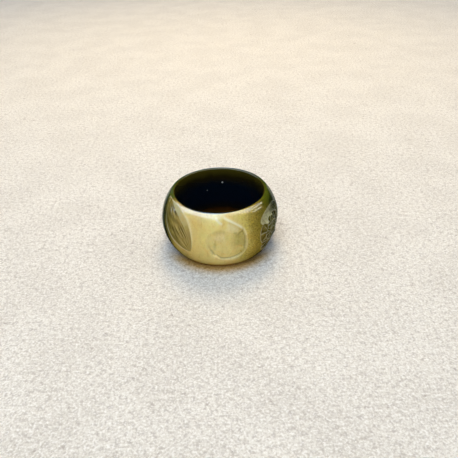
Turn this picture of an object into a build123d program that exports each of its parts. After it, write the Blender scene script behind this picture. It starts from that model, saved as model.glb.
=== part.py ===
"""A wide resin finger ring, one piece, with a leaf, a bud and a rose carved into its domed outside.

Lengths are in millimetres and angles in degrees. The ring lies on its lower rim, with its bore along Z and its
origin at the middle of that rim. An azimuth is counted from the front (-Y) towards +X, and a rise is counted
along the dome's outline, upwards from its widest line.
"""

import os
from math import asin, atan, cos, degrees, radians, sin, sqrt

from build123d import *


def arc_radius(half_chord, rise):
    """The radius of an arc from half its chord and its rise, and negative for an arc that sags."""
    return (half_chord**2 + rise**2) / (2 * rise)


# The band
bore_diameter = 18.1
wall_thickness = 2.95
band_height = 12.2
rim_width = 0.55
bore_edge_radius = 0.2
dome_edge_radius = 0.4

# The dome's outline is one arc, through both rims and the widest line
bore_radius = bore_diameter / 2
outer_radius = bore_radius + wall_thickness
rim_radius = bore_radius + rim_width
half_height = band_height / 2
dome_arc_radius = arc_radius(half_height, outer_radius - rim_radius)
dome_arc_offset = outer_radius - dome_arc_radius

# A long hollow's cutter stands this far out of the dome and runs on to this many times the hollow's length. Its floor
# rises at least this much, because a straight floor has no radius
cutter_overlap = 0.15
cutter_overrun = 1.25
least_floor_rise = 0.005

# The leaf, and the fold beside the bud. Lengths are shares of the band's height, and the hollow, how far the floor
# lies below a straight line across the cut, is a share of the wall
LEAF = {"azimuth": -45, "rise": 0.17, "turn": -53, "half_length": 0.445, "half_width": 0.25, "hollow": 0.11}
BUD_FOLD = {"azimuth": 12, "rise": 0.235, "turn": -41, "half_length": 0.28, "half_width": 0.12, "hollow": 0.1}

# The bud is a round dish, deepest at its lower edge. A dish's step, the height of its wall there, is a share of the
# wall, and its fade, how far from the step its floor comes out of the dome, is a share of the band's height. The
# bud's floor swells at its middle, by a share of the wall
BUD = {"azimuth": 6, "rise": 0.035, "turn": 0, "radius": 0.33, "step": 0.19, "fade": 0.63, "swell": 0.08}

# The rose. A petal's direction from the rose's middle is counted from the right, and its reach, how far its own middle
# lies from there, is a share of the band's height. The top petal is a long hollow. Each other petal is a dish with a
# flat floor, deepest at its outer edge, and has a row
rose_azimuth = 66
TOP_PETAL = {"direction": 95, "reach": 0.28, "turn": 3, "half_length": 0.36, "half_width": 0.12, "hollow": 0.17}
ROSE_COLUMNS = ("direction", "reach", "radius", "step", "fade")
ROSE_PETALS = [
    (176, 0.2, 0.21, 0.16, 0.25),
    (228, 0.22, 0.21, 0.16, 0.25),
    (278, 0.2, 0.22, 0.16, 0.25),
    (328, 0.21, 0.21, 0.16, 0.25),
    (12, 0.2, 0.21, 0.16, 0.25),
    (200, 0.12, 0.13, 0.19, 0.19),
    (272, 0.12, 0.13, 0.19, 0.19),
    (344, 0.12, 0.13, 0.19, 0.19),
    (56, 0.12, 0.13, 0.19, 0.19),
    (128, 0.12, 0.13, 0.19, 0.19),
    (90, 0.04, 0.07, 0.16, 0.1),
    (210, 0.04, 0.07, 0.16, 0.1),
    (330, 0.04, 0.07, 0.16, 0.1),
]


def dome_radius(rise):
    """The dome's distance from the bore's axis at that rise."""
    return dome_arc_offset + dome_arc_radius * cos(rise / dome_arc_radius)


def dome_plane(azimuth, rise):
    """The plane that touches the dome there, with X to the right, Y up and Z outwards."""
    slope = rise / dome_arc_radius
    across, along = sin(radians(azimuth)), -cos(radians(azimuth))
    return Plane(
        origin=(dome_radius(rise) * across, dome_radius(rise) * along, half_height + dome_arc_radius * sin(slope)),
        x_dir=(-along, across, 0),
        z_dir=(cos(slope) * across, cos(slope) * along, sin(slope)),
    )


def dome_drop(rise, turn, distance):
    """How far the dome falls away from its touching plane at that distance, in a direction turned up by turn."""
    around = cos(rise / dome_arc_radius) / dome_radius(rise)
    upward = 1 / dome_arc_radius
    return (around * cos(radians(turn)) ** 2 + upward * sin(radians(turn)) ** 2) * distance**2 / 2


def scoop(azimuth, rise, turn, half_length, half_width, hollow):
    """A boat-shaped hollow's cutter: the lower part of a disc, carried along an arc that comes out at both ends."""
    spot = Plane(dome_plane(azimuth, rise).location * Rotation(0, 0, turn))
    depth = hollow + dome_drop(rise, turn + 90, half_width)
    floor_rise = depth - dome_drop(rise, turn, half_length)
    if abs(floor_rise) < least_floor_rise:
        floor_rise = least_floor_rise
    floor_radius = arc_radius(half_length, floor_rise)
    disc_radius = arc_radius(half_width, hollow)
    sunk = depth + cutter_overlap
    half_chord = sqrt(2 * disc_radius * sunk - sunk**2)
    pivot = Axis(spot.from_local_coords((0, 0, floor_radius - depth)), spot.y_dir)
    half_sweep = cutter_overrun * degrees(asin(half_length / abs(floor_radius)))
    with BuildPart() as cutter:
        with BuildSketch(Plane(origin=spot.origin, x_dir=spot.y_dir, z_dir=spot.x_dir)) as disc:
            with BuildLine():
                ThreePointArc((-half_chord, cutter_overlap), (0, -depth), (half_chord, cutter_overlap))
                Line((half_chord, cutter_overlap), (-half_chord, cutter_overlap))
            make_face()
        for sweep in (half_sweep, -half_sweep):
            revolve(disc.sketch, axis=pivot, revolution_arc=sweep)
    return cutter.part


def dish(azimuth, rise, turn, radius, step, fade, swell=0):
    """A round hollow's cutter: a disc as high as the wall is thick, tipped to fade out above its lower edge's step."""
    edge_depth = step + dome_drop(rise, turn + 90, radius)
    floor_slope = (edge_depth - dome_drop(rise, turn + 90, radius - fade)) / fade
    touching = dome_plane(azimuth, rise).location * Rotation(0, 0, turn)
    floor = Plane(touching * Location((0, -radius, -edge_depth), (degrees(atan(floor_slope)), 0, 0)))
    with BuildPart(floor) as cutter:
        Cylinder(radius, wall_thickness, align=(Align.CENTER, Align.MIN, Align.MIN))
        if swell:
            with Locations((0, radius, swell - arc_radius(radius, swell))):
                Sphere(arc_radius(radius, swell), rotation=(0, 90, 0), mode=Mode.SUBTRACT)
    return cutter.part


def sized(cut):
    """A cut's shares as lengths: its hollow, step and swell of the wall, and its other lengths of the band's height."""
    angles = ("azimuth", "turn", "direction")
    of_the_wall = ("hollow", "step", "swell")
    return {
        name: value if name in angles else value * (wall_thickness if name in of_the_wall else band_height)
        for name, value in cut.items()
    }


def rose_spot(direction, reach):
    """The azimuth and the rise of a petal's middle."""
    rise = reach * sin(radians(direction))
    return rose_azimuth + degrees(reach * cos(radians(direction)) / dome_radius(rise)), rise


def top_petal(direction, reach, **cut):
    """The cutter of the rose's long top petal."""
    return scoop(*rose_spot(direction, reach), **cut)


def round_petal(direction, reach, **cut):
    """The cutter of one of the rose's other petals, deepest away from the rose's middle."""
    return dish(*rose_spot(direction, reach), turn=direction + 90, **cut)


leaf_cut = scoop(**sized(LEAF))
bud_cut = dish(**sized(BUD))
bud_fold_cut = scoop(**sized(BUD_FOLD))
top_petal_cut = top_petal(**sized(TOP_PETAL))
petal_cuts = [round_petal(**sized(dict(zip(ROSE_COLUMNS, row)))) for row in ROSE_PETALS]

with BuildPart() as ring_band:
    with BuildSketch(Plane.XZ):
        with BuildLine():
            Polyline((rim_radius, 0), (bore_radius, 0), (bore_radius, band_height), (rim_radius, band_height))
            ThreePointArc((rim_radius, band_height), (outer_radius, half_height), (rim_radius, 0))
        section = make_face()
        corners = section.vertices().sort_by(Axis.X)
        fillet(corners[:2], bore_edge_radius)
        fillet(corners[2:], dome_edge_radius)
    revolve(axis=Axis.Z)
    for cut in [leaf_cut, bud_cut, bud_fold_cut, top_petal_cut, *petal_cuts]:
        add(cut, mode=Mode.SUBTRACT)
ring_band.part.label = "ring_band"

os.makedirs("parts", exist_ok=True)
export_step(ring_band.part, "parts/ring_band.step")
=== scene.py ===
"""A wide resin finger ring on a pale floor: its polished dome is carved with a leaf, a bud and a rose.

The ring is one closed surface, worked out as arrays over its azimuth and the outline of its section. Shapes
are in millimetres and degrees, and become metres in the mesh. An azimuth is counted from the front (-Y)
towards +X, and a rise is counted along the dome's outline, upwards from its widest line.
"""

import bpy
import numpy as np
from mathutils import Matrix


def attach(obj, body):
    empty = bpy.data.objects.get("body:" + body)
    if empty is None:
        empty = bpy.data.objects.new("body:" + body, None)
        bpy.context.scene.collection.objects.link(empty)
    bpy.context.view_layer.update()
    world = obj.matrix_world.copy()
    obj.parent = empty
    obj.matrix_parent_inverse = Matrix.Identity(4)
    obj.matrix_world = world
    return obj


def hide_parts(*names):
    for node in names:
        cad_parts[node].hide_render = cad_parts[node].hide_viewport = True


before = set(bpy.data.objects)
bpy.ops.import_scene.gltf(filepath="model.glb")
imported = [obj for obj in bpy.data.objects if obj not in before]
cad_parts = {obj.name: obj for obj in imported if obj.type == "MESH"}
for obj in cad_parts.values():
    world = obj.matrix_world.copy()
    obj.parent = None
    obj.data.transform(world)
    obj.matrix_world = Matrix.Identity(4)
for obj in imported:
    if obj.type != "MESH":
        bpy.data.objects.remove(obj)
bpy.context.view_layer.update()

MM = 0.001

# The band's sizes, as in the part's source
bore_radius = 9.05
wall_thickness = 2.95
band_height = 12.2
rim_width = 0.55
bore_edge_radius = 0.2
dome_edge_radius = 0.4
outer_radius = bore_radius + wall_thickness
half_height = band_height / 2
dome_bulge = wall_thickness - rim_width
dome_arc_radius = (half_height**2 + dome_bulge**2) / (2 * dome_bulge)
dome_arc_offset = outer_radius - dome_arc_radius

# The surface's rows of points up the bore, round an edge of the bore, round an edge of the dome and down the
# dome, and its columns round the carved part and round the plain back. The carving starts and ends at these
# azimuths, and fades out over the dome's last rows
BORE_ROWS, BORE_EDGE_ROWS, DOME_EDGE_ROWS, DOME_ROWS = 6, 6, 9, 150
CARVED_COLUMNS, PLAIN_COLUMNS = 478, 64
CARVING_START, CARVING_END = -81, 96
FADING_ROWS = 4

# The carving, as in the part's source but for the turn of the bud's floor. Hollow, step and swell are shares
# of the wall, other lengths are shares of the band's height, and angles are in degrees
ANGLES = ("azimuth", "turn", "direction")
OF_THE_WALL = ("hollow", "step", "swell")
BUD_FOLD = dict(azimuth=12, rise=0.235, turn=-41, half_length=0.28, half_width=0.12, hollow=0.1)
BUD = dict(azimuth=6, rise=0.035, turn=8, radius=0.33, step=0.19, fade=0.63, swell=0.08)
ROSE_AZIMUTH = 66
TOP_PETAL = dict(direction=95, reach=0.28, turn=3, half_length=0.36, half_width=0.12, hollow=0.17)
PETAL_COLUMNS = ("direction", "reach", "radius", "step", "fade")
PETALS = [
    (176, 0.2, 0.21, 0.16, 0.25),
    (228, 0.22, 0.21, 0.16, 0.25),
    (278, 0.2, 0.22, 0.16, 0.25),
    (328, 0.21, 0.21, 0.16, 0.25),
    (12, 0.2, 0.21, 0.16, 0.25),
    (200, 0.12, 0.13, 0.19, 0.19),
    (272, 0.12, 0.13, 0.19, 0.19),
    (344, 0.12, 0.13, 0.19, 0.19),
    (56, 0.12, 0.13, 0.19, 0.19),
    (128, 0.12, 0.13, 0.19, 0.19),
    (90, 0.04, 0.07, 0.16, 0.1),
    (210, 0.04, 0.07, 0.16, 0.1),
    (330, 0.04, 0.07, 0.16, 0.1),
]

# A hollow is worked out only where the dome faces it, by at least this cosine between their normals
LEAST_FACING = 0.3

# A petal's floor is folded into this many facets round its middle, each sloping down to this depth
FACETS = 7
FACET_DEPTH = 0.17

# Lines are drawn on the dome as if it were a roll of this radius, laid flat. Their points are (azimuth,
# height over the widest line), and their widths are in millimetres
ROLL_RADIUS = 11.6
MM_PER_DEGREE = np.radians(ROLL_RADIUS)

# The leaf: the line between its tips, how far its borders and its valley stand off that line, its depth, and
# the width of the painted highlight on each border
LEAF_TIPS = ((-72.5, 5.95), (-29.5, -1.95))
LEAF_LEFT, LEAF_VALLEY, LEAF_RIGHT, LEAF_DEPTH = -2.05, 2.2, 4.1, 0.75
LEFT_FLANK = LEAF_VALLEY - LEAF_LEFT
RIGHT_FLANK = LEAF_RIGHT - LEAF_VALLEY
LEFT_LINE, RIGHT_LINE = 0.2, 0.32

# Streaks along the leaf's left flank, as (share of the flank, width, strength): dark ones above 0 and light
# ones below. A dark one of strength 1 is this deep, and this much darker than the flank
STREAK_DEPTH = 0.036
STREAK_SHADE = 0.58
LEAF_STREAKS = [
    (0.20, 0.035, 0.8),
    (0.27, 0.025, -0.5),
    (0.34, 0.035, 0.9),
    (0.45, 0.025, -0.7),
    (0.52, 0.03, 0.8),
    (0.60, 0.03, -0.9),
    (0.68, 0.035, 1.0),
    (0.76, 0.025, -0.6),
    (0.85, 0.035, 0.9),
    (0.95, 0.03, 0.7),
]

# Painted glints beside the leaf's upper end, drawn as highlights, as points, width and strength
LEAF_GLINTS = [
    ([(-58.9, 4.99), (-57.6, 4.9), (-56.4, 4.72)], 0.11, 1.0),
    ([(-79.5, 5.78), (-77.9, 5.7), (-76.6, 5.52)], 0.1, 0.9),
    ([(-75.5, 5.9), (-73.6, 5.8), (-72.6, 5.86)], 0.1, 0.8),
    ([(-74.3, 5.5), (-73.1, 5.32), (-72.0, 5.15)], 0.1, 0.6),
]

# The bud: its lower border; its ledges, as points, step, reach and softness, with lower ground on their
# right; and its painted highlights and painted shadows, as points, width and strength
BUD_BORDER = [
    (-12.6, 2.2), (-12.2, 0.9), (-11.8, 0.0), (-10.4, -0.9), (-8.3, -1.35), (-6.9, -2.1), (-5.6, -2.45),
    (-3.5, -2.65), (-1.6, -3.0), (0.6, -3.35), (4, -3.5), (9.9, -3.5), (14.9, -3.25), (19.3, -2.75),
    (22.4, -2.1), (24.6, -1.2), (25.5, 0.1), (25.9, 1.5),
]
BUD_LEDGES = [
    ([(2, 5.55), (5.2, 5.28), (10, 4.83), (14.7, 4.32), (19.3, 3.74), (23.4, 3.1)], 0.22, 1.3, 0.3),
    ([(22.6, 3.4), (24.7, 2.42), (25.6, 1.38), (25.6, -0.11), (24.2, -1.6)], 0.26, 1.4, 0.3),
    ([(2.9, 4.3), (-0.1, 4.8), (-2.2, 5.32), (-4.2, 5.85)], 0.12, 0.7, 0.25),
    ([(13.6, 2.75), (15.4, 2.5), (17.2, 2.2), (19.3, 2.65), (23.2, 3.1)], 0.18, 0.9, 0.15),
    ([(-3.2, -1.2), (-5.4, -0.5), (-6.4, 0.46), (-5.5, 1.36), (-2.8, 2.04)], 0.09, 0.7, 0.2),
    ([(12.5, 2.2), (13.6, 0.9), (12.6, -0.6), (9, -1.7)][::-1], 0.08, 0.9, 0.5),
    ([(-12.7, 1.3), (-10.8, 2.36), (-6.4, 3.14), (-0.2, 3.44), (6.9, 3.36), (11.1, 3.04)], 0.07, 1.1, 0.7),
]
BUD_HIGHLIGHTS = [
    ([(2.5, 5.6), (5.2, 5.4), (10, 4.95), (14.7, 4.44), (19.3, 3.86), (24.2, 3.05)], 0.26, 1.0),
    ([(22.8, 3.5), (24.9, 2.5), (25.7, 1.6)], 0.2, 0.6),
    ([(25.4, 2.4), (25.9, 1.0), (25.9, -0.1), (24.6, -1.7)], 0.2, 0.25),
    ([(-3.9, 5.65), (-2.8, 5.2), (-0.4, 4.75), (3.5, 4.3)], 0.26, 0.8),
    ([(-12.1, -0.82), (-9.6, -1.6), (-7.4, -2.65), (-3.9, -2.96), (-1.1, -3.66), (2.1, -3.95), (8.8, -4.05),
      (17.1, -3.5), (21, -2.85), (24, -1.9)], 0.26, 0.2),
    ([(7, 4.4), (13, 3.7), (20, 3.1)], 0.7, 0.4),
    ([(-5, 1.3), (-1, 1.75), (5.5, 1.9)], 0.9, 0.3),
]
BUD_SHADOWS = [
    ([(23.4, 3.4), (22.9, 3.15), (21.1, 2.6), (16.5, 1.8)], 0.18, 0.42),
    ([(13.6, 2.62), (17.2, 2.5)], 0.18, 0.35),
    ([(17.5, 2.4), (20.8, 1.4), (20.5, 0.2), (17, -0.8)], 0.9, 0.16),
    ([(-8, 2.75), (0, 3.05), (7, 2.95)], 0.45, 0.16),
    ([(-3.9, 0.8), (-5.6, -0.27), (-5.5, -1.4)], 0.3, 0.2),
    ([(-9.9, -0.9), (-8.1, -1.25), (-6.8, -2.05)], 0.14, 0.35),
    ([(-1.6, -3.0), (0.6, -3.3), (3.3, -3.38), (9.9, -3.4), (16, -3.05), (20.5, -2.5)], 0.12, 0.3),
]

# The resin's colour round the band, as (azimuth, colour): cream at the front, dark green at the sides and
# back. Its near black teal at the sides also holds painted shade and a painted dark reflection.
RESIN_AND_SIDE_SHADE_COLOURS = [
    (-180, (0.006, 0.024, 0.018)),
    (-112, (0.008, 0.026, 0.012)),
    (-86, (0.008, 0.024, 0.022)),
    (-76, (0.014, 0.038, 0.030)),
    (-69, (0.018, 0.034, 0.014)),
    (-62, (0.058, 0.058, 0.016)),
    (-55, (0.200, 0.160, 0.030)),
    (-48, (0.380, 0.285, 0.065)),
    (-32, (0.710, 0.510, 0.160)),
    (-8, (0.900, 0.710, 0.250)),
    (10, (0.880, 0.680, 0.230)),
    (22, (0.660, 0.500, 0.125)),
    (34, (0.352, 0.258, 0.045)),
    (50, (0.185, 0.138, 0.017)),
    (60, (0.108, 0.094, 0.006)),
    (67, (0.050, 0.052, 0.004)),
    (74, (0.016, 0.022, 0.003)),
    (108, (0.008, 0.026, 0.010)),
    (180, (0.006, 0.024, 0.018)),
]

# The top rim's colour, where light comes through the thin edge, by share of a turn from the back
EDGE_COLOURS = [
    (0.0, (0.020, 0.070, 0.045)),
    (0.14, (0.020, 0.060, 0.024)),
    (0.28, (0.080, 0.105, 0.004)),
    (0.72, (0.085, 0.100, 0.006)),
    (0.86, (0.018, 0.050, 0.018)),
    (1.0, (0.020, 0.070, 0.045)),
]

# The bore's colour, by share of its height
BORE_COLOURS = [
    (0.0, (0.160, 0.055, 0.001)),
    (0.10, (0.060, 0.020, 0.000)),
    (0.22, (0.008, 0.005, 0.002)),
    (0.36, (0.001, 0.004, 0.010)),
    (0.68, (0.001, 0.005, 0.010)),
    (0.84, (0.016, 0.012, 0.002)),
    (1.0, (0.070, 0.056, 0.004)),
]

# Two small pale specks on the bore's wall, as (name, place, size and shade)
BORE_SPECKS = [
    ("bright speck", (0.00056, 0.00903, 0.00880), 0.00022, 0.75),
    ("dim speck", (-0.00281, 0.00860, 0.00712), 0.00020, 0.12),
]


def smooth_step(low, high, value):
    """Rises from 0 at low to 1 at high along 3t^2 - 2t^3."""
    t = np.clip((value - low) / (high - low), 0, 1)
    return t * t * (3 - 2 * t)


def arc_radius(half_chord, rise):
    """The radius of an arc from half its chord and its rise."""
    return (half_chord**2 + rise**2) / (2 * rise)


def dome_radius(rise):
    """The dome's distance from the bore's axis at that rise."""
    return dome_arc_offset + dome_arc_radius * np.cos(rise / dome_arc_radius)


def dome_drop(rise, turn, distance):
    """How far the dome falls away from its touching plane: the curvature that way times distance^2 / 2."""
    around = np.cos(rise / dome_arc_radius) / dome_radius(rise)
    turn = np.radians(turn)
    return (around * np.cos(turn) ** 2 + np.sin(turn) ** 2 / dome_arc_radius) * distance**2 / 2


def touching_axes(azimuth, rise, turn, tilt=0.0):
    """A point on the dome and the axes along, across and out of it, turned by turn and tipped by tilt."""
    slope, azimuth = rise / dome_arc_radius, np.radians(azimuth)
    turn, tilt = np.radians(turn), np.radians(tilt)
    across, forward = np.sin(azimuth), -np.cos(azimuth)
    radius = dome_radius(rise)
    origin = np.array([radius * across, radius * forward, half_height + dome_arc_radius * np.sin(slope)])
    right = np.array([-forward, across, 0.0])
    out = np.array([np.cos(slope) * across, np.cos(slope) * forward, np.sin(slope)])
    up = np.cross(out, right)
    along = np.cos(turn) * right + np.sin(turn) * up
    side = np.cos(turn) * up - np.sin(turn) * right
    return origin, along, np.cos(tilt) * side + np.sin(tilt) * out, np.cos(tilt) * out - np.sin(tilt) * side


def in_axes(points, axes):
    """The points' distances from the axes' origin, measured along each axis."""
    origin, along, side, out = axes
    away = points - origin
    return away @ along, away @ side, away @ out


def scoop_depth(points, normals, azimuth, rise, turn, half_length, half_width, hollow):
    """Depth of a long hollow: a disc's arc across it, carried along an arc whose ends come out of the dome.

    The floor lies at z = p - sign(f) sqrt((f - d + sqrt(d^2 - y^2))^2 - x^2), with p the pivot's height, d
    the disc's radius and f the floor's, which is negative where the floor bulges with the dome. A point's
    depth is its height over the floor times the cosine between both normals.
    """
    axes = touching_axes(azimuth, rise, turn)
    x, y, z = in_axes(points, axes)
    depth = hollow + dome_drop(rise, turn + 90, half_width)
    floor_radius = arc_radius(half_length, depth - dome_drop(rise, turn, half_length))
    disc_radius = arc_radius(half_width, hollow)
    reach = floor_radius - disc_radius + np.sqrt(np.maximum(disc_radius**2 - y**2, 0))
    floor = floor_radius - depth - np.sign(floor_radius) * np.sqrt(np.maximum(reach**2 - x**2, 0))
    facing = normals @ axes[3]
    furthest = 1.6 * half_length
    inside = (np.abs(y) < disc_radius) & (np.abs(x) < furthest) & (facing > LEAST_FACING)
    return np.where(inside, (z - floor) * facing, 0.0)


def dish_depth(points, normals, azimuth, rise, turn, radius, step, fade, swell=0.0, soft=0.09):
    """Depth of a round hollow: a disc's floor, tipped to end in a step below and to fade out above.

    A point goes inwards along its normal to the floor, by its height over the floor divided by the cosine
    between both normals. Its wall is a smooth step over the disc's edge, and the floor swells by swell * (1 -
    r^2 / R^2). Also gives each point's place on the disc, from its middle.
    """
    edge_depth = step + dome_drop(rise, turn + 90, radius)
    slope = (edge_depth - dome_drop(rise, turn + 90, radius - fade)) / fade
    origin, along, side, out = touching_axes(azimuth, rise, turn)
    origin = origin - radius * side - edge_depth * out
    _, _, tipped_side, tipped_out = touching_axes(azimuth, rise, turn, np.degrees(np.arctan(slope)))
    x, y, z = in_axes(points, (origin, along, tipped_side, tipped_out))
    facing = normals @ tipped_out
    gap = z / np.maximum(facing, 0.2)
    x = x - gap * (normals @ along)
    y = y - gap * (normals @ tipped_side) - radius
    from_middle = np.hypot(x, y)
    floor = gap - swell * np.maximum(1 - (from_middle / radius) ** 2, 0)
    wall = smooth_step(radius + soft, radius - soft, from_middle)
    furthest = 4
    near = (facing > LEAST_FACING) & (np.abs(z) < furthest)
    return np.where(near, floor * wall, 0.0), x, y


def soft_max(first, second, round_off=0.03):
    """The larger of two depths, rounded where they meet: (a + b + sqrt((a - b)^2 + r^2)) / 2."""
    return (first + second + np.sqrt((first - second) ** 2 + round_off**2)) / 2 - round_off / 2


def from_path(around, up, path):
    """Each point's distance from a path, above 0 to its right, and how far along the path it is, 0 to 1.

    Around and up are a point's place on the dome laid flat: for each run of the path, the nearest spot is the
    point's projection on it, kept between the run's ends.
    """
    path = np.array(path, float) * (MM_PER_DEGREE, 1.0)
    runs = path[1:] - path[:-1]
    lengths = np.hypot(*runs.T)
    before = np.concatenate([[0], np.cumsum(lengths)[:-1]])
    away, along = np.full(around.shape, 1e9), np.zeros(around.shape)
    for start, run, length, passed in zip(path, runs, lengths, before):
        share = np.clip(((around - start[0]) * run[0] + (up - start[1]) * run[1]) / length**2, 0, 1)
        x, y = around - start[0] - share * run[0], up - start[1] - share * run[1]
        side = np.where(x * run[1] - y * run[0] >= 0, 1, -1)
        distance = np.hypot(x, y)
        nearer = distance < np.abs(away)
        away = np.where(nearer, side * distance, away)
        along = np.where(nearer, (passed + share * length) / lengths.sum(), along)
    return away, along


def fading(along):
    """1 along the middle of a path and 0 at its ends."""
    return smooth_step(0, 0.18, along) * smooth_step(1, 0.82, along)


def stroke(around, up, path, width):
    """A soft line along a path, 1 at its middle: exp(-(distance / width)^2), faded at its ends."""
    away, along = from_path(around, up, path)
    return np.exp(-((away / width) ** 2)) * fading(along)


def leaf_places(around, up):
    """A point's share of the leaf's length, its offset from the line between the tips, and the width there.

    The width is a share of the widest. It goes as sin(pi s^1.3)^0.65 over the share s of the length, so it is
    fullest past the leaf's middle.
    """
    start, end = (np.array(tip) * (MM_PER_DEGREE, 1.0) for tip in LEAF_TIPS)
    length = np.hypot(*(end - start))
    run = (end - start) / length
    share = ((around - start[0]) * run[0] + (up - start[1]) * run[1]) / length
    offset = -(around - start[0]) * run[1] + (up - start[1]) * run[0]
    return share, offset, np.sin(np.pi * np.clip(share, 0, 1) ** 1.3) ** 0.65


def leaf_depth(around, up):
    """Depth of the leaf, and each point's shares of the left flank, the right flank and the length.

    A flank's share is 0 at its border and 1 at the valley. Each flank goes down as 1 - (1 - share)^1.5, so
    that both meet at full depth in the valley. The last result says which points are inside.
    """
    share, offset, width = leaf_places(around, up)
    width = np.maximum(width, 0.02)
    left = (offset / width - LEAF_LEFT) / LEFT_FLANK
    right = (LEAF_RIGHT - offset / width) / RIGHT_FLANK
    lowest = np.minimum(left, right)
    depth = LEAF_DEPTH * width * (1 - np.maximum(1 - np.clip(lowest, 0, 1), 0) ** 1.5)
    inside = (share > 0) & (share < 1) & (lowest > 0)
    return np.where(inside, depth, 0.0), left, right, share, inside


def ledge(around, up, path, step, reach, soft):
    """Depth beside a path: a step on its right, which comes up again as exp(-(distance / reach)^2)."""
    away, along = from_path(around, up, path)
    ground = np.exp(-((np.maximum(away, 0) / reach) ** 2))
    return step * smooth_step(-soft / 2, soft, away) * ground * fading(along)


def inside_border(around, up, path, soft, softer):
    """1 to the left of a path and 0 to its right, and softer where the path begins."""
    away, along = from_path(around, up, path)
    soft = soft + softer * smooth_step(0.35, 0.0, along)
    return smooth_step(soft, -soft, away)


def sized(cut):
    """A cut with its shares as lengths."""
    return {
        name: value if name in ANGLES else value * (wall_thickness if name in OF_THE_WALL else band_height)
        for name, value in cut.items()
    }


def rose_spot(direction, reach):
    """The azimuth and the rise of a petal's middle, from its direction and reach from the rose's middle."""
    rise = reach * np.sin(np.radians(direction))
    return ROSE_AZIMUTH + np.degrees(reach * np.cos(np.radians(direction)) / dome_radius(rise)), rise


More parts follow.
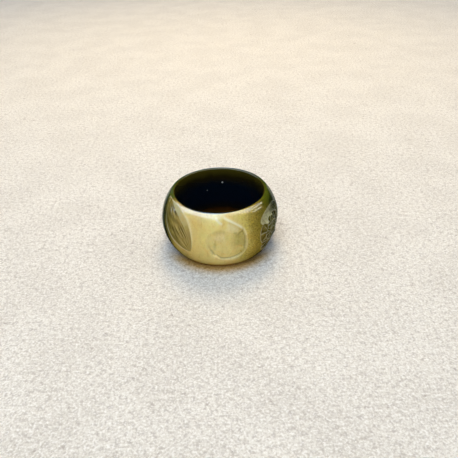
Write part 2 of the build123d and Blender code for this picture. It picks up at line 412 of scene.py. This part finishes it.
class Carving:
    """What is carved into the dome: the depth at each point, and the masks that the finish follows.

    Frosting is where the polish is gone, and on the rose's facets also painted light. The dark mask holds the
    resin's real streaks and painted shade and shadow; the highlight mask is painted highlight along edges,
    ridges and glints.
    """

    def __init__(self, points, normals, around, up):
        self.points, self.normals = points, normals
        self.around, self.up = around, up
        self.depth, self.frost_and_sheen, self.vein_and_shade, self.crest_highlight = np.zeros((4, len(points)))

    def draw(self, mask, lines):
        """The mask with lines drawn over it: the larger of the mask and of each line's strength."""
        for path, width, strength in lines:
            mask = np.maximum(mask, strength * stroke(self.around, self.up, path, width))
        return mask

    def cut_leaf(self):
        """The leaf: a streaked left flank in painted shade, a right flank frosted at its upper end, painted
        highlights on its borders.

        A border is a line exp(-(distance / width)^2). So is a streak, which also wanders as a sine along the
        leaf and comes and goes as another.
        """
        self.depth, left, right, share, inside = leaf_depth(self.around, self.up)
        # Painted highlights along both borders of the leaf
        left_border = np.exp(-((left * LEFT_FLANK / LEFT_LINE) ** 2)) * smooth_step(0.0, 0.12, share)
        left_border = left_border * (0.3 + 0.35 * smooth_step(0.3, 0.5, share))
        right_border = np.exp(-((right * RIGHT_FLANK / RIGHT_LINE) ** 2))
        right_border = right_border * (0.1 + 0.35 * smooth_step(0.3, 0.6, share) * smooth_step(1, 0.9, share))
        beside_leaf = (share > 0.04) & (share < 0.99)
        self.crest_highlight = np.where(beside_leaf, np.maximum(left_border, right_border), 0.0)

        on_left = inside * smooth_step(1.04, 0.96, left) * smooth_step(0.02, 0.1, left)
        # Painted shade darkens the whole left flank; its ripples and the streaks below are dark streaks in
        # the resin
        vein_and_shade = (0.58 + 0.16 * np.sin(23 * left + 5 * np.sin(5 * share + 2 * left))) * on_left
        for place, width, strength in LEAF_STREAKS:
            wander = 0.03 * np.sin(9 * share + 50 * place)
            dashes = np.clip(0.5 + 0.8 * np.sin(15 * share + 71 * place), 0, 1)
            ends = smooth_step(0.06, 0.2, share) * smooth_step(1.0, 0.85, share)
            streak = np.exp(-(((left - place - wander) / width) ** 2)) * on_left * dashes * ends
            self.depth = self.depth + STREAK_DEPTH * max(strength, 0) * streak
            vein_and_shade = np.clip(vein_and_shade + STREAK_SHADE * strength * streak, 0, 1)

        on_right = inside * smooth_step(0.98, 1.02, left)
        # Painted shadow low on the right flank, under its right border
        low_right_shadow = 0.5 * on_right * smooth_step(0.35, 0.8, share) * smooth_step(0.1, 0.3, right)
        self.vein_and_shade = np.maximum(vein_and_shade, low_right_shadow)
        self.frost_and_sheen = on_right * (1.4 - 1.38 * smooth_step(0.2, 0.75, share))
        # Painted glints beside the leaf's upper end
        self.crest_highlight = self.draw(self.crest_highlight, LEAF_GLINTS)

    def cut_bud(self):
        """The bud: its dish inside its border, the fold above it, its ledges, and its painted highlight and
        shadow lines.
        """
        cut, _, _ = dish_depth(self.points, self.normals, **sized(BUD))
        cut = np.maximum(cut * inside_border(self.around, self.up, BUD_BORDER, 0.13, 0.35), 0)
        self.frost_and_sheen = np.maximum(self.frost_and_sheen, 0.22 * smooth_step(0.0, 0.15, cut))
        self.depth = soft_max(self.depth, cut)
        cut = scoop_depth(self.points, self.normals, **sized(BUD_FOLD))
        self.depth = soft_max(self.depth, np.maximum(cut, 0))
        for path, step, reach, soft in BUD_LEDGES:
            self.depth = self.depth + ledge(self.around, self.up, path, step, reach, soft)
        # Painted highlights and painted shadows along the bud's edges and creases
        self.crest_highlight = self.draw(self.crest_highlight, BUD_HIGHLIGHTS)
        self.vein_and_shade = self.draw(self.vein_and_shade, BUD_SHADOWS)

    def cut_top_petal(self):
        """The rose's long top petal, which is frosted, and least so on its right, whose dark resin stands in
        for a painted dark reflection.
        """
        petal = sized(TOP_PETAL)
        azimuth, rise = rose_spot(petal.pop("direction"), petal.pop("reach"))
        cut = np.maximum(scoop_depth(self.points, self.normals, azimuth, rise, **petal), 0)
        from_front = self.around / MM_PER_DEGREE
        # Left unfrosted on its right, where the dark resin stands in for a painted dark reflection
        frost_and_sheen = smooth_step(0.0, 0.1, cut) * (0.2 + 0.85 * smooth_step(74, 64, from_front))
        self.frost_and_sheen = np.maximum(self.frost_and_sheen, frost_and_sheen)
        self.depth = soft_max(self.depth, cut)

    def cut_petal(self, row):
        """One of the rose's round petals, with its facets.

        A facet deepens with the share of the way across it and comes up again over its last fifth. It darkens
        with that share as painted shade, and is frosted on its shallow side as painted light.
        """
        petal = sized(dict(zip(PETAL_COLUMNS, row)))
        direction = petal.pop("direction")
        azimuth, rise = rose_spot(direction, petal.pop("reach"))
        cut, x, y = dish_depth(self.points, self.normals, azimuth, rise, direction + 90, soft=0.06, **petal)
        cut = np.maximum(cut, 0)
        facet = np.mod(np.arctan2(x, -y) * FACETS / (2 * np.pi), 1)
        facet = facet * smooth_step(1.0, 0.8, facet) / 0.85
        in_petal = smooth_step(0.05, 0.3, cut)
        cut = cut + FACET_DEPTH * facet * in_petal
        # Painted shade on each facet's deep side and painted light on its shallow side, as if lit from one
        # side
        in_front = cut > self.depth
        self.vein_and_shade = np.where(in_front, np.maximum(0.25, facet**2) * in_petal, self.vein_and_shade)
        self.frost_and_sheen = np.where(in_front, 0.24 * (1 - facet) ** 1.5 * in_petal, self.frost_and_sheen)
        self.depth = soft_max(self.depth, cut, 0.015)


def arc_points(middle, radius, start, end, count):
    """Points along an arc: the middle plus the radius times (cos, sin) of the turn."""
    turn = np.linspace(start, end, count)
    return np.stack([middle[0] + radius * np.cos(turn), middle[1] + radius * np.sin(turn)], 1)


def section_outline():
    """The closed outline of the band's section, as (radius, height), and the dome's first row and slopes.

    It runs up the bore, round the top rim, down the dome and round the lower rim. The bore's edges are
    quarter arcs. A dome edge is an arc that touches both the rim and the dome, so its middle lies at the dome
    arc's radius less its own from the dome arc's middle.
    """
    edge_rise = half_height - dome_edge_radius
    inner = dome_arc_radius - dome_edge_radius
    edge_middle = dome_arc_offset + np.sqrt(inner**2 - edge_rise**2)
    edge_slope = np.arcsin(edge_rise / inner)
    bore_middle = bore_radius + bore_edge_radius
    top, low = band_height - bore_edge_radius, bore_edge_radius
    down = np.pi / 2

    bore = np.stack([np.full(BORE_ROWS, bore_radius), np.linspace(low, top, BORE_ROWS)], 1)
    top_bore_edge = arc_points((bore_middle, top), bore_edge_radius, np.pi, down, BORE_EDGE_ROWS)
    top_dome_edge = arc_points(
        (edge_middle, band_height - dome_edge_radius), dome_edge_radius, down, edge_slope, DOME_EDGE_ROWS)
    slope = np.linspace(edge_slope, -edge_slope, DOME_ROWS)
    dome = arc_points((dome_arc_offset, half_height), dome_arc_radius, edge_slope, -edge_slope, DOME_ROWS)
    low_dome_edge = arc_points(
        (edge_middle, dome_edge_radius), dome_edge_radius, -edge_slope, -down, DOME_EDGE_ROWS)
    low_bore_edge = arc_points((bore_middle, low), bore_edge_radius, -down, -np.pi, BORE_EDGE_ROWS)
    parts = [bore, top_bore_edge[1:], top_dome_edge, dome[1:-1], low_dome_edge, low_bore_edge[:-1]]
    first = len(parts[0]) + len(parts[1]) + len(parts[2])
    return np.concatenate(parts), first, slope[1:-1]


def azimuth_columns():
    """Azimuths round the band, close together where it is carved and further apart over its plain back."""
    carved = np.linspace(CARVING_START, CARVING_END, CARVED_COLUMNS, endpoint=False)
    plain = np.linspace(CARVING_END, CARVING_START + 360, PLAIN_COLUMNS, endpoint=False)
    return np.radians(np.concatenate([carved, plain]))


def closed_surface(name, grid):
    """A mesh over a grid of points, closed in both directions, with its faces pointing outwards."""
    columns, rows = grid.shape[:2]
    number = np.arange(columns * rows).reshape(columns, rows)
    beside, above = np.roll(number, -1, 0), np.roll(number, -1, 1)
    corner = np.roll(beside, -1, 1)
    faces = np.stack([number, above, corner, beside], 2).reshape(-1, 4)
    mesh = bpy.data.meshes.new(name)
    mesh.from_pydata((grid.reshape(-1, 3) * MM).tolist(), [], faces.tolist())
    mesh.polygons.foreach_set("use_smooth", np.ones(len(faces), bool))
    mesh.update()
    return mesh


def point_mask(mesh, name, values):
    """Stores a value for each point, which a material reads by its name."""
    mesh.attributes.new(name, "FLOAT", "POINT").data.foreach_set("value", values.ravel().astype(np.float32))


def blurred(grid, steps):
    """The grid averaged over its neighbours, steps cells each way, first round the band and then up it."""
    total = sum(np.roll(grid, k, 0) for k in range(-steps, steps + 1)) / (2 * steps + 1)
    edged = np.pad(total, ((0, 0), (steps, steps)), mode="edge")
    return sum(edged[:, k:k + grid.shape[1]] for k in range(2 * steps + 1)) / (2 * steps + 1)


def store_masks(mesh, carving, depth, radius, height, from_front, dome):
    """Stores the masks that the resin's material reads, a value for each point.

    Besides the drawn lines, painted highlights on ridges and painted shade in hollows go where a cut is
    shallower or deeper than its blurred self.
    The drift carries the colours beside the leaf round the band with the height, by a share of a turn. The
    dark mouth is painted shade: the bore's dark mouth drawn onto the top rim, widest at the front.
    """
    def over_all(values):
        full = np.zeros(radius.shape)
        full[:, dome] = values.reshape(depth.shape)
        return full

    degrees = (carving.around / MM_PER_DEGREE).reshape(depth.shape)
    over_bud = smooth_step(-18, -13, degrees) * smooth_step(32, 28, degrees)
    hollow = (depth - blurred(depth, 3)) * (1 - 0.5 * over_bud)
    full_hollow = 0.09
    # Painted highlight where a cut's edge stands proud of its blurred self
    edge_highlight = 0.4 * np.clip(-hollow / full_hollow, 0, 1)
    point_mask(mesh, "crest_highlight", over_all(np.maximum(carving.crest_highlight.reshape(depth.shape), edge_highlight)))
    # Painted shade where a cut lies deeper than its blurred self
    point_mask(mesh, "groove_shade", over_all(np.clip(hollow / full_hollow, 0, 1)))
    point_mask(mesh, "frost_and_sheen", over_all(carving.frost_and_sheen))
    point_mask(mesh, "vein_and_shade", over_all(carving.vein_and_shade))
    point_mask(mesh, "carved", over_all(smooth_step(0.0, 0.15, depth)))

    beside_leaf = smooth_step(-100, -82, degrees) * smooth_step(-20, -45, degrees)
    degrees_per_mm = 3.2
    up = carving.up.reshape(depth.shape)
    drift = over_all(degrees_per_mm * np.clip(up, 0, 6) * beside_leaf / 360)
    drift[:, :dome.start] = 0.35 * drift[:, dome.start, None]
    point_mask(mesh, "drift", drift)

    # Painted shade: the dark bore seen through the rim's thin inner edge, drawn widest at the front
    from_lip = np.clip(from_front + 0.18, -1, 1)
    lip_reach = bore_edge_radius + 0.5 * np.maximum(np.cos(1.5 * from_lip), 0)
    lip_shade = smooth_step(lip_reach, lip_reach - 0.12, radius - bore_radius) * (height > half_height)
    point_mask(mesh, "lip_shade", lip_shade)


def build_ring():
    """The ring's surface: its section carried round the bore, cut in along the dome's normals."""
    outline, first, slope = section_outline()
    azimuth = azimuth_columns()
    from_front = np.where(azimuth > np.pi, azimuth - 2 * np.pi, azimuth)[:, None]
    round_x, round_y = np.sin(azimuth)[:, None], -np.cos(azimuth)[:, None]
    radius, height = outline[None, :, 0] + 0 * round_x, outline[None, :, 1] + 0 * round_x

    dome = slice(first, first + len(slope))
    points = np.stack([radius[:, dome] * round_x, radius[:, dome] * round_y, height[:, dome]], 2)
    normals = np.stack([np.cos(slope) * round_x, np.cos(slope) * round_y, np.sin(slope) + 0 * round_x], 2)
    around = from_front * ROLL_RADIUS + 0 * slope
    up = height[:, dome] - half_height
    carving = Carving(points.reshape(-1, 3), normals.reshape(-1, 3), around.ravel(), up.ravel())
    carving.cut_leaf()
    carving.cut_bud()
    carving.cut_top_petal()
    for row in PETALS:
        carving.cut_petal(row)

    row_number = np.arange(len(slope))
    fading_in = smooth_step(0, FADING_ROWS, np.minimum(row_number, row_number[::-1]))
    depth = np.maximum(carving.depth, 0).reshape(up.shape) * fading_in
    radius[:, dome] -= depth * np.cos(slope)
    height[:, dome] -= depth * np.sin(slope)
    mesh = closed_surface("carved_ring", np.stack([radius * round_x, radius * round_y, height], 2))
    store_masks(mesh, carving, depth, radius, height, from_front, dome)

    material = np.zeros(radius.shape, np.int32)
    bore_slot = 1
    material[:, :BORE_ROWS + BORE_EDGE_ROWS - 2] = bore_slot
    material[:, 1 - BORE_EDGE_ROWS:] = bore_slot
    mesh.polygons.foreach_set("material_index", material.ravel())
    ring = bpy.data.objects.new("carved_ring", mesh)
    bpy.context.scene.collection.objects.link(ring)
    return ring


class Shader:
    """A node tree that is written as short calls."""

    def __init__(self, tree):
        self.tree = tree
        self.nodes = tree.nodes
        self.links = tree.links

    def add(self, kind, inputs=None, **settings):
        """Adds a node, with its settings and with values or links for its inputs."""
        node = self.nodes.new(kind)
        for name, value in settings.items():
            setattr(node, name, value)
        for name, value in (inputs or {}).items():
            if isinstance(value, bpy.types.NodeSocket):
                self.links.new(value, node.inputs[name])
            else:
                node.inputs[name].default_value = value
        return node

    def math(self, operation, first, second=None):
        """One calculation on one or two numbers."""
        values = {i: v for i, v in enumerate((first, second)) if v is not None}
        return self.add("ShaderNodeMath", values, operation=operation).outputs[0]

    def plus(self, first, second):
        """The sum of two numbers."""
        return self.math("ADD", first, second)

    def times(self, first, second):
        """The product of two numbers."""
        return self.math("MULTIPLY", first, second)

    def mix(self, share, first, second, blend="MIX"):
        """Mixes two colours, or a colour with the result of a blend."""
        node = self.add("ShaderNodeMix", data_type="RGBA", blend_type=blend)
        for socket, value in ((0, share), (6, first), (7, second)):
            if isinstance(value, bpy.types.NodeSocket):
                self.links.new(value, node.inputs[socket])
            else:
                node.inputs[socket].default_value = value
        return node.outputs[2]

    def between(self, value, low, high, to_low=0.0, to_high=1.0):
        """Carries a range of values to another along 3t^2 - 2t^3, and stays inside it."""
        names = {"Value": value, "From Min": low, "From Max": high, "To Min": to_low, "To Max": to_high}
        return self.add("ShaderNodeMapRange", names, interpolation_type="SMOOTHSTEP").outputs[0]

    def mask(self, name):
        """The value that the mesh keeps under that name."""
        return self.add("ShaderNodeAttribute", attribute_name=name).outputs["Fac"]

    def noise(self, place, scale, detail, roughness=0.5, distortion=0.0):
        """The value of a noise texture, 0 to 1."""
        values = {"Vector": place, "Scale": scale, "Detail": detail}
        values.update({"Roughness": roughness, "Distortion": distortion})
        return self.add("ShaderNodeTexNoise", values).outputs["Fac"]

    def ramp(self, value, stops):
        """A colour ramp from (place, colour) stops."""
        node = self.add("ShaderNodeValToRGB", {"Fac": value})
        elements = node.color_ramp.elements
        elements[0].position, elements[0].color = stops[0][0], (*stops[0][1], 1)
        elements[1].position, elements[1].color = stops[-1][0], (*stops[-1][1], 1)
        for place, colour in stops[1:-1]:
            elements.new(place).color = (*colour, 1)
        return node.outputs["Color"]


def marbling_group():
    """Swirls in cast resin, on the vector given: a slow cloud, and finer threads with more distortion."""
    tree = bpy.data.node_groups.new("resin marbling", "ShaderNodeTree")
    tree.interface.new_socket("Vector", in_out="INPUT", socket_type="NodeSocketVector")
    tree.interface.new_socket("Cloud scale", in_out="INPUT", socket_type="NodeSocketFloat")
    tree.interface.new_socket("Thread scale", in_out="INPUT", socket_type="NodeSocketFloat")
    tree.interface.new_socket("Cloud", in_out="OUTPUT", socket_type="NodeSocketFloat")
    tree.interface.new_socket("Threads", in_out="OUTPUT", socket_type="NodeSocketFloat")
    s = Shader(tree)
    inputs = s.add("NodeGroupInput").outputs
    outputs = s.add("NodeGroupOutput").inputs
    s.links.new(s.noise(inputs["Vector"], inputs["Cloud scale"], 3.0, 0.5, 0.8), outputs["Cloud"])
    s.links.new(s.noise(inputs["Vector"], inputs["Thread scale"], 5.0, 0.62, 2.5), outputs["Threads"])
    return tree


def new_material(name):
    """A material, with its node tree and its Principled shader to work on."""
    material = bpy.data.materials.new(name)
    material.use_nodes = True
    s = Shader(material.node_tree)
    return material, s, s.nodes["Principled BSDF"]


def polished_colour(s, place, cloud, threads):
    """The polished resin's colour: a ramp round the band with patches, streaks, threads and dust in it.

    It is browner at the lower rim, where painted shade near the floor darkens the resin's amber, and, where
    light comes through the thin edge, lighter at the top one. The dust is thickest at the right front.
    """
    split = s.add("ShaderNodeSeparateXYZ", {"Vector": place}).outputs
    turn = s.math("ARCTAN2", split["X"], s.times(split["Y"], -1.0))
    turn = s.plus(s.times(turn, 0.5 / np.pi), 0.5)
    turn = s.plus(turn, s.mask("drift"))
    turn = s.plus(turn, s.times(s.math("SUBTRACT", cloud, 0.5), 0.06))
    # The ramp round the band: the resin's colour, with painted shade and a painted dark reflection in its
    # dark sides
    colour = s.ramp(turn, [((azimuth + 180) / 360, rgb) for azimuth, rgb in RESIN_AND_SIDE_SHADE_COLOURS])

    patch = s.noise(place, 310.0, 2.0, distortion=1.2)
    colour = s.mix(s.between(patch, 0.50, 0.70, 0.0, 0.5), colour, (1.0, 0.88, 0.70, 1), "MULTIPLY")
    colour = s.mix(s.between(patch, 0.48, 0.32, 0.0, 0.5), colour, (0.93, 1.0, 0.90, 1), "MULTIPLY")
    drawn = s.add("ShaderNodeMapping", {"Vector": place, "Scale": (1.0, 1.0, 0.24)}).outputs["Vector"]
    streaks = s.noise(drawn, 1900.0, 3.0, 0.6, 0.4)
    colour = s.mix(s.between(streaks, 0.48, 0.28, 0.0, 0.45), colour, (0.76, 0.68, 0.50, 1), "MULTIPLY")
    colour = s.mix(s.between(streaks, 0.54, 0.72, 0.0, 0.30), colour, (0.86, 0.78, 0.48, 1), "SOFT_LIGHT")
    colour = s.mix(s.between(threads, 0.52, 0.75, 0.0, 0.45), colour, (0.80, 0.70, 0.40, 1), "SOFT_LIGHT")
    colour = s.mix(s.between(threads, 0.48, 0.3, 0.0, 0.40), colour, (0.28, 0.20, 0.05, 1), "SOFT_LIGHT")

    dust = s.noise(place, 3600.0, 2.0, 0.6)
    dusted = s.times(s.between(turn, 0.54, 0.60), s.between(turn, 0.76, 0.70))
    dusted = s.plus(0.12, s.times(dusted, 0.38))
    light_dust = s.times(s.between(dust, 0.52, 0.70), dusted)
    colour = s.mix(light_dust, colour, (1.0, 0.90, 0.62, 1), "OVERLAY")
    dark_dust = s.times(s.between(dust, 0.48, 0.30), dusted)
    colour = s.mix(dark_dust, colour, (0.14, 0.075, 0.02, 1), "OVERLAY")

    # Painted shade near the floor, with the resin's amber: darker and browner towards the bottom
    foot_amber_and_shade = s.between(split["Z"], 0.0011, 0.0, 0.0, 0.8)
    colour = s.mix(foot_amber_and_shade, colour, (0.76, 0.48, 0.13, 1), "MULTIPLY")
    at_top = s.between(split["Z"], 0.0108, 0.0121, 0.0, 0.9)
    return s.mix(at_top, colour, s.ramp(turn, EDGE_COLOURS), "LIGHTEN")


def resin_material(marbling):
    """Polished resin, clouded and threaded. In the carving it is frosted, lined and less polished, with
    painted shade and highlights.
    """
    material, s, shader = new_material("marbled_resin")
    place = s.add("ShaderNodeTexCoord").outputs["Object"]
    scales = {"Vector": place, "Cloud scale": 190.0, "Thread scale": 620.0}
    swirl = s.add("ShaderNodeGroup", scales, node_tree=marbling)
    threads = swirl.outputs["Threads"]
    colour = polished_colour(s, place, swirl.outputs["Cloud"], threads)
    # Painted shade and painted shadow, with the resin's real dark streaks
    colour = s.mix(s.times(s.mask("vein_and_shade"), 0.88), colour, (0.070, 0.048, 0.001, 1))
    frosting = s.times(s.mask("frost_and_sheen"), s.between(threads, 0.35, 0.62, 0.25, 0.7))
    colour = s.mix(frosting, colour, (0.55, 0.50, 0.22, 1))
    # Painted shade at the foot of each step in the carving
    colour = s.mix(s.times(s.mask("groove_shade"), 0.55), colour, (0.10, 0.07, 0.010, 1))
    # Painted highlights along edges, ridges and glints
    colour = s.mix(s.times(s.mask("crest_highlight"), 0.6), colour, (0.98, 0.92, 0.66, 1))
    # Painted shade of the dark bore over the rim's inner edge
    colour = s.mix(s.mask("lip_shade"), colour, (0.006, 0.006, 0.003, 1))
    s.links.new(colour, shader.inputs["Base Color"])

    grain = s.noise(place, 2600.0, 2.0)
    rough = s.plus(s.times(s.mask("frost_and_sheen"), 0.36), s.times(s.mask("carved"), 0.10))
    rough = s.plus(s.plus(rough, 0.10), s.times(s.math("SUBTRACT", grain, 0.5), 0.06))
    s.links.new(rough, shader.inputs["Roughness"])
    cut_marks = s.times(grain, s.plus(s.times(s.mask("carved"), 0.5), s.mask("frost_and_sheen")))
    bump = s.add("ShaderNodeBump", {"Strength": 0.25, "Distance": 0.00006, "Height": cut_marks})
    s.links.new(bump.outputs["Normal"], shader.inputs["Normal"])
    shader.inputs["IOR"].default_value = 1.5
    shader.inputs["Specular IOR Level"].default_value = 0.4
    shader.inputs["Subsurface Weight"].default_value = 0.15
    shader.inputs["Subsurface Radius"].default_value = (1.0, 0.75, 0.25)
    shader.inputs["Subsurface Scale"].default_value = 0.0015
    return material


def bore_material(marbling):
    """The polished bore: nearly black resin, amber brown towards its lower edge and olive at its top."""
    material, s, shader = new_material("dark_bore_resin")
    place = s.add("ShaderNodeTexCoord").outputs["Object"]
    scales = {"Vector": place, "Cloud scale": 240.0, "Thread scale": 700.0}
    swirl = s.add("ShaderNodeGroup", scales, node_tree=marbling)
    height = s.add("ShaderNodeSeparateXYZ", {"Vector": place}).outputs["Z"]
    height = s.math("DIVIDE", height, band_height * MM)
    height = s.plus(height, s.times(s.math("SUBTRACT", swirl.outputs["Cloud"], 0.5), 0.12))
    colour = s.ramp(height, BORE_COLOURS)
    for name, spot, size, shade in BORE_SPECKS:
        from_speck = s.add("ShaderNodeVectorMath", {0: place, 1: spot}, operation="DISTANCE", label=name)
        on_speck = s.between(from_speck.outputs["Value"], size, 0.4 * size)
        colour = s.mix(on_speck, colour, (shade, shade, 0.9 * shade, 1))
    s.links.new(colour, shader.inputs["Base Color"])
    rough = s.between(swirl.outputs["Threads"], 0.3, 0.7, 0.12, 0.2)
    s.links.new(rough, shader.inputs["Roughness"])
    shader.inputs["IOR"].default_value = 1.5
    shader.inputs["Specular IOR Level"].default_value = 0.25
    return material


def floor_material():
    """A pale warm stone floor with a fine grain, and a painted amber shadow where light comes through the
    resin's foot.
    """
    material, s, shader = new_material("pale_stone_floor")
    place = s.add("ShaderNodeTexCoord").outputs["Object"]
    cloud = s.noise(place, 75.0, 5.0)
    grain = s.noise(place, 1150.0, 4.0, 0.7)
    pits = s.noise(place, 620.0, 3.0, 0.65)
    fine = s.noise(place, 2900.0, 2.0, 0.6)
    colour = s.mix(s.between(cloud, 0.35, 0.65), (0.715, 0.665, 0.58, 1), (0.78, 0.73, 0.64, 1))
    colour = s.mix(s.between(grain, 0.52, 0.34, 0.0, 0.6), colour, (0.46, 0.40, 0.34, 1))
    colour = s.mix(s.between(grain, 0.52, 0.70, 0.0, 0.50), colour, (0.95, 0.92, 0.86, 1))
    colour = s.mix(s.between(pits, 0.60, 0.70, 0.0, 0.5), colour, (0.36, 0.29, 0.23, 1))
    colour = s.mix(s.between(fine, 0.50, 0.32, 0.0, 0.55), colour, (0.50, 0.43, 0.36, 1))
    colour = s.mix(s.between(fine, 0.50, 0.68, 0.0, 0.55), colour, (1.0, 0.97, 0.92, 1))

    split = s.add("ShaderNodeSeparateXYZ", {"Vector": place}).outputs
    x, y = split["X"], split["Y"]
    away = s.math("SQRT", s.plus(s.times(x, x), s.times(y, y)))
    away = s.plus(away, s.times(s.math("SUBTRACT", grain, 0.5), 0.0016))
    # Painted amber shadow in front of the ring, darkest near its foot
    amber = s.times(s.between(away, 0.0134, 0.0102), s.between(y, -0.003, -0.0075))
    colour = s.mix(amber, colour, (0.62, 0.42, 0.15, 1), "MULTIPLY")
    s.links.new(colour, shader.inputs["Base Color"])
    shader.inputs["Roughness"].default_value = 0.8
    shader.inputs["Specular IOR Level"].default_value = 0.0
    bump = s.add("ShaderNodeBump", {"Strength": 0.5, "Distance": 0.00012, "Height": grain})
    s.links.new(bump.outputs["Normal"], shader.inputs["Normal"])
    return material


def build_floor():
    """A flat square under the ring. The polish doesn't mirror it, and it shades no light from below."""
    half = 1.2
    corners = [(-half, -half, 0), (half, -half, 0), (half, half, 0), (-half, half, 0)]
    mesh = bpy.data.meshes.new("floor")
    mesh.from_pydata(corners, [], [(0, 1, 2, 3)])
    mesh.materials.append(floor_material())
    floor = bpy.data.objects.new("floor", mesh)
    bpy.context.scene.collection.objects.link(floor)
    floor.visible_glossy = False
    floor.visible_shadow = False


# The camera, from a fit of the ring's outline in the photograph. Its elevation is in degrees, its roll in
# radians, and its distance and the ring's offset from the middle of the picture in millimetres
CAMERA_ELEVATION, CAMERA_ROLL, CAMERA_DISTANCE = 33.25, -0.0246, 108.4
RING_RIGHT, RING_UP = -1.855, 3.062
FOCAL_PIXELS, PICTURE_PIXELS, SENSOR_WIDTH = 520, 458, 36

# Lights look towards the ring's middle, or else towards their own aim
RING_MIDDLE = (0, 0, 0.006)

# Lamps that only matt surfaces see, and cards that only the polish mirrors: place, size and power in metres
# and watts. A card fades over that outer share of its half width and half height, and is rolled by degrees
LIGHTS = [
    dict(name="key", place=(0.01, 0.20, 0.285), size=(0.15, 0.15), power=0.74, colour=(1.0, 0.79, 0.47)),
    dict(name="overhead fill", place=(-0.05, -0.16, 0.38), size=(0.2, 0.2), power=0.74,
         colour=(0.76, 0.87, 1.0)),
    dict(name="left ceiling", place=(-0.3175, -0.025, 0.35), aim=(-0.3175, -0.025, 0), size=(1.03, 0.58),
         power=24.0, colour=(0.47, 0.68, 1.0), fade=0.3, roll=-31.5),
    dict(name="right ceiling", place=(0.235, -0.046, 0.35), aim=(0.235, -0.046, 0), size=(0.55, 0.53),
         power=9.5, colour=(0.93, 0.96, 1.0), fade=0.4, roll=14),
    dict(name="top card", place=(0.0, 0.0, 0.34), size=(0.32, 0.32), power=2.2,
         colour=(0.95, 0.98, 1.0), fade=0.9),
    dict(name="front glow", place=(-0.080, -0.232, 0.250), size=(0.95, 0.34), power=1.8,
         colour=(0.84, 0.94, 1.0), fade=0.7),
    dict(name="right floor card", place=(0.143, 0.248, -0.082), size=(0.21, 0.15), power=0.044,
         colour=(1.0, 1.0, 0.84), fade=0.8, roll=26),
    dict(name="left floor card", place=(-0.115, 0.242, -0.10), size=(0.13, 0.17), power=0.044,
         colour=(1.0, 0.98, 0.80), fade=0.8),
    dict(name="high streak", place=(0.585, 0.024, 0.321), size=(0.48, 0.020), power=0.60,
         colour=(1.0, 1.0, 0.84), fade=0.3, roll=-24.7),
    dict(name="low streak", place=(0.624, -0.019, 0.275), size=(0.37, 0.020), power=0.46,
         colour=(1.0, 1.0, 0.80), fade=0.3, roll=-24.3),
]


def rolled(right, up, roll):
    """Two directions turned by roll, in the plane that holds both."""
    return np.cos(roll) * right + np.sin(roll) * up, np.cos(roll) * up - np.sin(roll) * right


def set_up(name, data, right, up, back, place):
    """A lamp or camera at its place, with its own axes along right, up and back."""
    thing = bpy.data.objects.new(name, data)
    matrix = np.eye(4)
    matrix[:3] = np.stack([right, up, back, place], 1)
    thing.matrix_world = Matrix(matrix.tolist())
    bpy.context.scene.collection.objects.link(thing)
    return thing


def aim_camera():
    """The camera at the photograph's viewing angle, 33 degrees above the floor and about 110 mm away."""
    elevation = np.radians(CAMERA_ELEVATION)
    forward = np.array([0, np.cos(elevation), -np.sin(elevation)])
    right = np.array([1.0, 0, 0])
    right, up = rolled(right, np.cross(right, forward), CAMERA_ROLL)
    middle = np.array([0, 0, half_height])
    place = middle - (RING_RIGHT * right + RING_UP * up + CAMERA_DISTANCE * forward)
    data = bpy.data.cameras.new("camera")
    data.sensor_width = SENSOR_WIDTH
    data.lens = SENSOR_WIDTH * FOCAL_PIXELS / PICTURE_PIXELS
    data.clip_start, data.clip_end = 0.001, 10
    bpy.context.scene.camera = set_up("camera", data, right, up, -forward, place * MM)


def fade_light(light, fade):
    """Makes a light darker towards its border, across its width times up its height."""
    light.use_nodes = True
    s = Shader(light.node_tree)
    spot = s.add("ShaderNodeNewGeometry").outputs["Parametric"]
    middle = (0.5, 0.5, 0.5)
    away = s.add("ShaderNodeVectorMath", {0: spot, 1: middle}, operation="SUBTRACT").outputs["Vector"]
    from_middle = s.add("ShaderNodeVectorMath", {0: away}, operation="ABSOLUTE").outputs["Vector"]
    share = s.add("ShaderNodeSeparateXYZ", {"Vector": from_middle}).outputs
    border, inner = 0.5, 0.5 - 0.5 * fade
    strength = s.times(s.between(share["X"], border, inner), s.between(share["Y"], border, inner))
    s.links.new(strength, s.nodes["Emission"].inputs["Strength"])


def add_light(name, place, size, power, colour, aim=RING_MIDDLE, fade=0.0, roll=0.0):
    """A soft light that looks from its place towards its aim, rolled about that line.

    One that fades is a card, which only the polish mirrors. The others light matt surfaces alone.
    """
    light = bpy.data.lights.new(name, "AREA")
    light.shape = "RECTANGLE"
    light.size, light.size_y = size
    light.energy, light.color = power, colour
    if fade:
        fade_light(light, fade)
    away = np.array(place, float) - np.array(aim, float)
    back = away / np.linalg.norm(away)
    looks_down = abs(back[2]) > 0.999
    side = np.array([1.0, 0, 0]) if looks_down else np.cross((0.0, 0.0, 1.0), back)
    side = side / np.linalg.norm(side)
    lamp = set_up(name, light, *rolled(side, np.cross(back, side), np.radians(roll)), back, place)
    lamp.visible_camera = False
    lamp.visible_diffuse = not fade
    lamp.visible_glossy = bool(fade)


def light_studio():
    """A cool even surround, a warm key above and behind, an overhead fill, and the polish's cards."""
    world = bpy.data.worlds.new("studio")
    bpy.context.scene.world = world
    world.use_nodes = True
    world.node_tree.nodes["Background"].inputs["Color"].default_value = (0.70, 0.81, 1.0, 1)
    world.node_tree.nodes["Background"].inputs["Strength"].default_value = 0.585
    world.cycles_visibility.glossy = False
    for light in LIGHTS:
        add_light(**light)
    bpy.context.scene.view_settings.view_transform = "Standard"


aim_camera()
ring = build_ring()
marbling = marbling_group()
ring.data.materials.append(resin_material(marbling))
ring.data.materials.append(bore_material(marbling))
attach(ring, "root")
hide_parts("ring_band")
build_floor()
light_studio()
